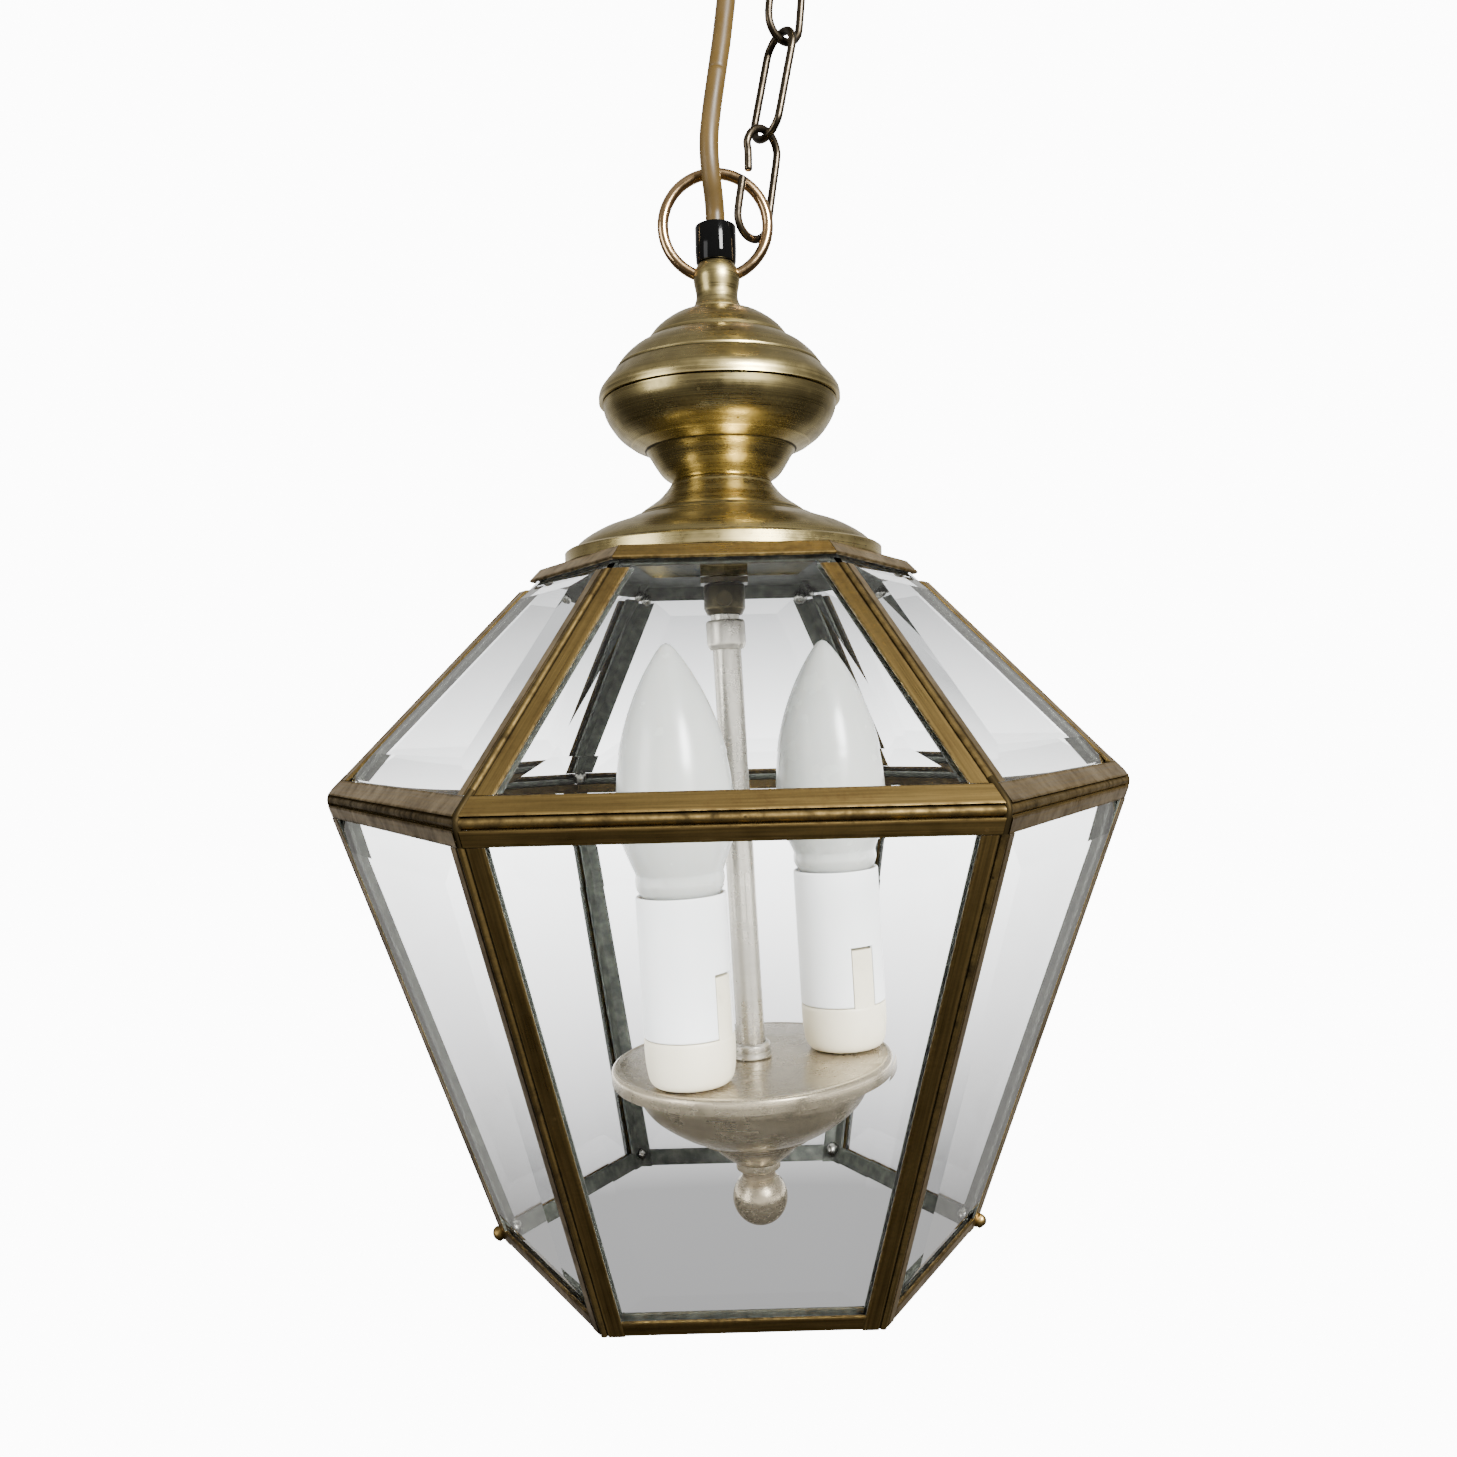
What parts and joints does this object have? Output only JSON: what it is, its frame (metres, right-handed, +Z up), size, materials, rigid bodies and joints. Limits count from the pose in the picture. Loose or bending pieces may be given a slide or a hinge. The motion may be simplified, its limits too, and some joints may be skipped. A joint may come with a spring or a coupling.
{
  "type": "hanging lantern",
  "caption": "Hexagonal hanging hall lantern of brass came and bevelled glass, with candle lamps on a pan, on a ring, chain and ceiling rose.",
  "frame": {"origin": "centre of the ceiling plate's flat upper face, where it meets the ceiling; everything hangs below", "axes": "+Z up to the ceiling; +X to the right of the chain's lean, with the lantern hanging a little to the left; -Y is the front pane's side"},
  "size_m": [0.254, 0.22, 0.4526],
  "materials": {
    "plain_steel": "zinc-plated steel, dull",
    "aged_brass": "spun brass, aged and brushed, darker in the steps",
    "black_plastic": "glossy black",
    "chain_metal": "bronze-plated steel wire, worn bright on the bends",
    "polished_brass": "polished brass, lightly browned",
    "flex_sheath": "gold-coloured cable sheath, satin",
    "came_brass": "brass came, dull, with solder at the corners",
    "clear_glass": "clear bevelled glass",
    "dark_bronze": "dark bronze",
    "satin_nickel": "satin nickel",
    "cream_plastic": "cream plastic",
    "white_plastic": "white plastic, satin",
    "opal_glass": "frosted opal glass"
  },
  "bodies": {
    "ceiling": {"ceiling_plate": "plain_steel", "ceiling_rose": "aged_brass", "ceiling_hook": "aged_brass", "cord_bush": "black_plastic"},
    "link_c": {"chain_link_c": "chain_metal"},
    "link_b": {"chain_link_b": "chain_metal"},
    "link_a": {"chain_link_a": "chain_metal"},
    "ring": {"suspension_ring": "polished_brass", "flex_upper": "flex_sheath"},
    "lantern": {"loop_neck": "aged_brass", "cord_grip": "black_plastic", "flex_lower": "flex_sheath", "canopy_cap": "aged_brass", "canopy_bowl": "aged_brass", "canopy_crown": "aged_brass", "threaded_tube": "plain_steel", "lock_nut": "plain_steel", "roof_eaves_came": "came_brass", "body_top_came": "came_brass", "body_bottom_came": "came_brass", "girdle_wire": "came_brass", "roof_top_plate": "came_brass", "roof_hip_1": "came_brass", "roof_hip_2": "came_brass", "roof_hip_3": "came_brass", "roof_hip_4": "came_brass", "roof_hip_5": "came_brass", "roof_hip_6": "came_brass", "corner_post_1": "came_brass", "corner_post_2": "came_brass", "corner_post_3": "came_brass", "corner_post_4": "came_brass", "corner_post_5": "came_brass", "corner_post_6": "came_brass", "roof_glass_1": "clear_glass", "roof_glass_2": "clear_glass", "roof_glass_3": "clear_glass", "roof_glass_4": "clear_glass", "roof_glass_5": "clear_glass", "roof_glass_6": "clear_glass", "body_glass_1": "clear_glass", "body_glass_2": "clear_glass", "body_glass_3": "clear_glass", "body_glass_4": "clear_glass", "body_glass_5": "clear_glass", "body_glass_6": "clear_glass", "coupler": "dark_bronze", "coupler_screw": "dark_bronze", "stem_collar": "satin_nickel", "stem_tube": "satin_nickel", "base_collar": "satin_nickel", "pan": "aged_brass", "pan_bowl": "aged_brass", "finial": "aged_brass", "holder_base_left": "cream_plastic", "candle_sleeve_left": "white_plastic", "holder_base_right": "cream_plastic", "candle_sleeve_right": "white_plastic"},
    "bulb_left": {"bulb_left": "opal_glass"},
    "bulb_right": {"bulb_right": "opal_glass"}
  },
  "joints": [
    {"name": "hook_swing", "type": "hinge", "parent": "ceiling", "child": "link_c", "pos_m": [0, 0, -0.047], "axis": [1, 0, 0], "range_deg": [-8, 8]},
    {"name": "link_b_twist", "type": "hinge", "parent": "link_c", "child": "link_b", "pos_m": [-0.00299, 0, -0.07452], "axis": [0.2079, 0, 0.9781], "range_deg": [-10, 10]},
    {"name": "link_a_twist", "type": "hinge", "parent": "link_c", "child": "link_a", "pos_m": [-0.00966, 0, -0.10521], "axis": [0.1564, 0, 0.9877], "range_deg": [-6, 6]},
    {"name": "ring_slide", "type": "hinge", "parent": "link_c", "child": "ring", "pos_m": [-0.0261, 0, -0.13495], "axis": [0, 1, 0], "range_deg": [-10, 10], "deforming": ["flex_upper"]},
    {"name": "lantern_tilt", "type": "hinge", "parent": "ring", "child": "lantern", "pos_m": [-0.0261, 0, -0.15068], "axis": [1, 0, 0], "range_deg": [-25, 25], "deforming": ["flex_lower"]},
    {"name": "bulb_left_unscrew", "type": "hinge", "parent": "lantern", "child": "bulb_left", "pos_m": [-0.03919, -0.0256, -0.39735], "axis": [-0.0366, 0, 0.9993], "range_deg": [0, 1800]},
    {"name": "bulb_right_unscrew", "type": "hinge", "parent": "lantern", "child": "bulb_right", "pos_m": [0.00937, 0.005, -0.39557], "axis": [-0.0366, 0, 0.9993], "range_deg": [0, 1800]}
  ]
}
